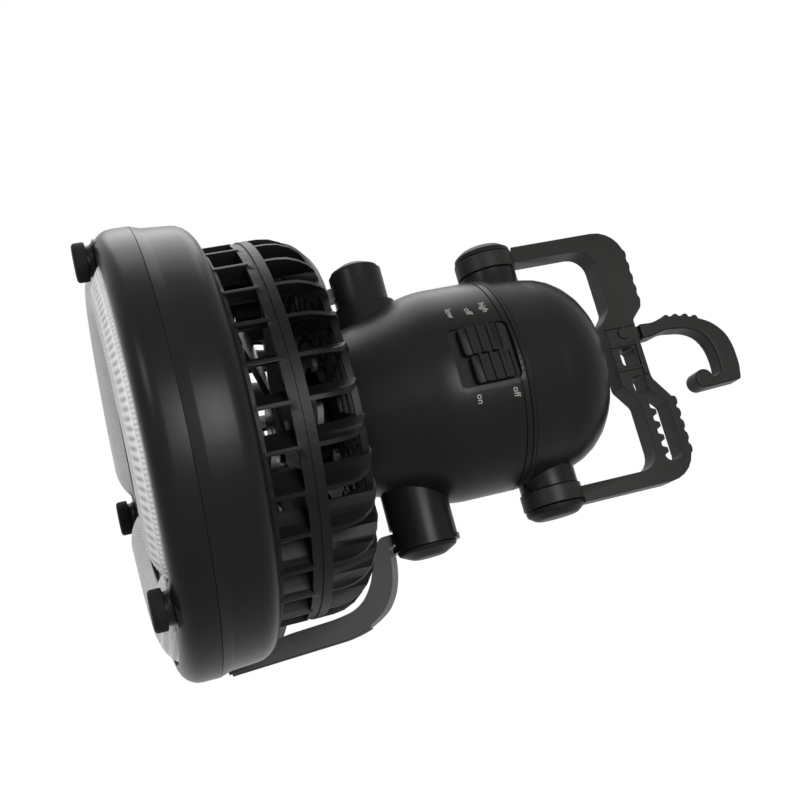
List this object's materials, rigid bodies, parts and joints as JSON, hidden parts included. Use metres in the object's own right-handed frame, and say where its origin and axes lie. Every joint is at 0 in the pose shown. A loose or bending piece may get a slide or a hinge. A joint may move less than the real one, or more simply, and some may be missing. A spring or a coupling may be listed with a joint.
{
  "type": "portable camping fan",
  "caption": "Battery camping fan with a round ring-light head, louvred fan cage, domed battery body, swing-out stand, folding carry handle and hanging hook.",
  "frame": {"origin": "on the fan axis, in the plane of the three rubber feet that the lantern stands on face down", "axes": "+Z along the fan axis from the feet to the hanging hook; +X along the hinge axes of the stand and the handle, towards the half of the grip with the toothed slot; the switches face -Y and the stand lies on the +Y side"},
  "size_m": [0.1674, 0.1962, 0.2529],
  "materials": {
    "black_satin": "satin moulded black ABS",
    "black_trim": "satin moulded black ABS, small parts",
    "black_cage": "satin moulded black, thin ribs",
    "foot_rubber": "soft black rubber",
    "lens_clear": "clear prismatic acrylic",
    "reflector_white": "white gloss",
    "circuit_board": "green solder mask",
    "led": "clear domed LED over pale phosphor",
    "fan_grey": "smooth dark grey",
    "steel": "zinc-plated steel",
    "brass_contact": "plated contact strip",
    "cell_jacket": "plain printed cell jacket"
  },
  "bodies": {
    "housing": {"bezel": "black_satin", "head_shell": "black_satin", "lens_1": "lens_clear", "lens_2": "lens_clear", "lens_3": "lens_clear", "reflector": "reflector_white", "led_board": "circuit_board", "leds": "led", "feet": "foot_rubber", "front_grille": "black_cage", "air_duct": "black_cage", "head_screws": "steel", "cage_front": "black_cage", "cage_rear": "black_cage", "motor": "steel", "motor_mount": "black_cage", "neck_screws": "steel", "front_housing": "black_satin", "stand_caps": "black_trim", "battery_tray": "black_cage", "cell_1": "cell_jacket", "cell_2": "cell_jacket", "front_contact": "brass_contact", "switch_board": "circuit_board"},
    "rotor": {"fan_blades": "fan_grey", "motor_shaft": "steel"},
    "fan_switch": {"fan_slider": "black_trim"},
    "light_switch": {"light_slider": "black_trim"},
    "battery_cover": {"rear_cover": "black_satin", "cover_contact": "brass_contact", "handle_caps": "black_trim"},
    "stand": {"stand": "black_satin"},
    "handle": {"handle": "black_satin", "hook_pin": "steel"},
    "hook": {"hook": "black_satin"}
  },
  "joints": [
    {"name": "fan_spin", "type": "hinge", "parent": "housing", "child": "rotor", "pos_m": [0, 0, 0.064], "axis": [0, 0, 1], "continuous": true},
    {"name": "fan_switch_slide", "type": "slide", "parent": "housing", "child": "fan_switch", "axis": [0, 0, 1], "range_m": [-0.0036, 0.0036]},
    {"name": "light_switch_slide", "type": "slide", "parent": "housing", "child": "light_switch", "axis": [0, 0, 1], "range_m": [-0.0036, 0]},
    {"name": "cover_twist", "type": "hinge", "parent": "housing", "child": "battery_cover", "pos_m": [0, 0, 0.1464], "axis": [0, 0, 1], "range_deg": [0, 20]},
    {"name": "stand_swing", "type": "hinge", "parent": "housing", "child": "stand", "pos_m": [0, 0, 0.105], "axis": [1, 0, 0], "range_deg": [0, 62]},
    {"name": "handle_swing", "type": "hinge", "parent": "battery_cover", "child": "handle", "pos_m": [0, 0, 0.1585], "axis": [1, 0, 0], "range_deg": [-60, 85]},
    {"name": "hook_swing", "type": "hinge", "parent": "handle", "child": "hook", "pos_m": [-0.0092, 0, 0.206], "axis": [0, 1, 0], "range_deg": [-15, 14]}
  ]
}
